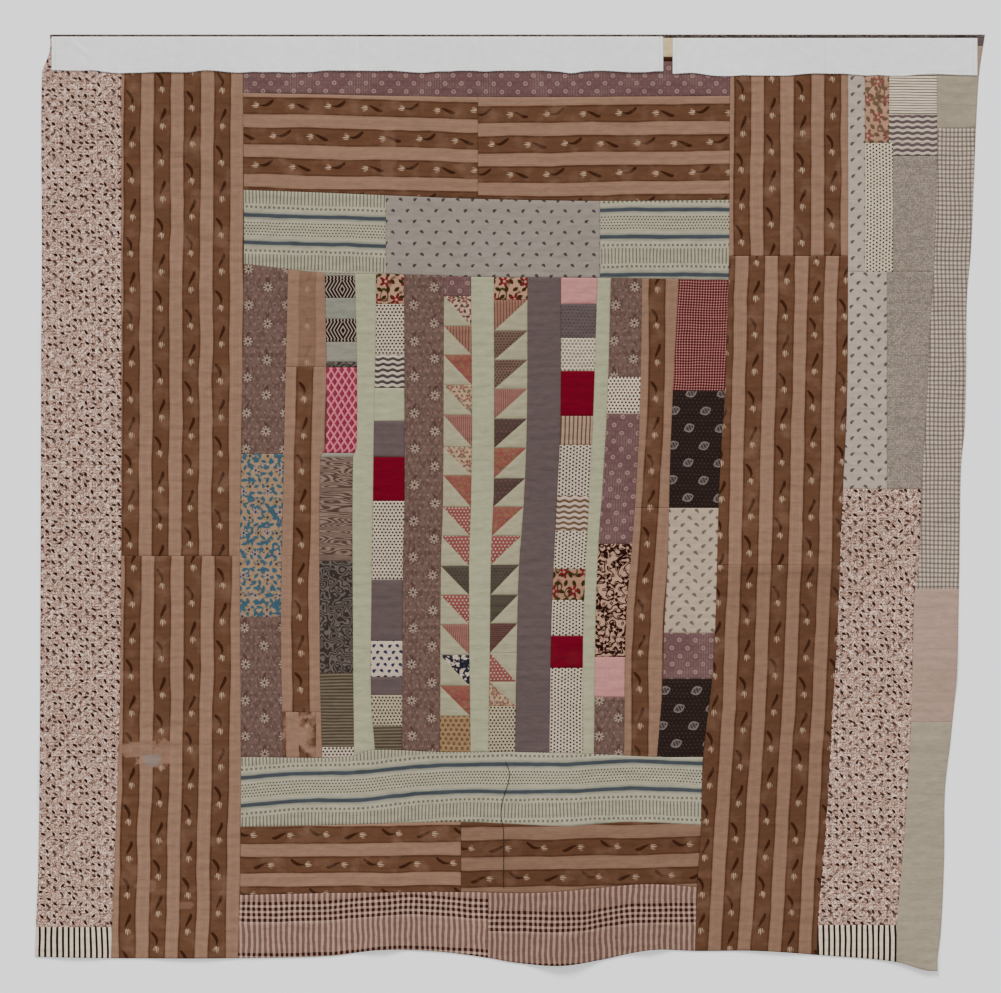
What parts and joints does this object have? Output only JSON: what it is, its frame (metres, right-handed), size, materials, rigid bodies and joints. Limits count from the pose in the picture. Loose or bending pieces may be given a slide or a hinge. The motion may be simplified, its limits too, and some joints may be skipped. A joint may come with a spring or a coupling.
{
  "type": "patchwork coverlet",
  "caption": "Pieced cotton coverlet laid flat face up, long strips around a narrow column centre, wavy foot edge, white cotton tapes sewn along the head edge.",
  "frame": {"origin": "middle of the footprint, on the surface that the coverlet lies on", "axes": "+Z out of the face, +Y towards the taped head edge, +X towards the right-hand edge seen from the face"},
  "size_m": [2.09, 2.06, 0.0185],
  "materials": {
    "patchwork_cotton": "matt printed cotton, pieced and quilted",
    "white_cotton_tape": "matt woven cotton tape"
  },
  "bodies": {
    "root": {"coverlet": "patchwork_cotton", "header_tape_long": "white_cotton_tape", "header_tape_short": "white_cotton_tape"}
  },
  "joints": []
}
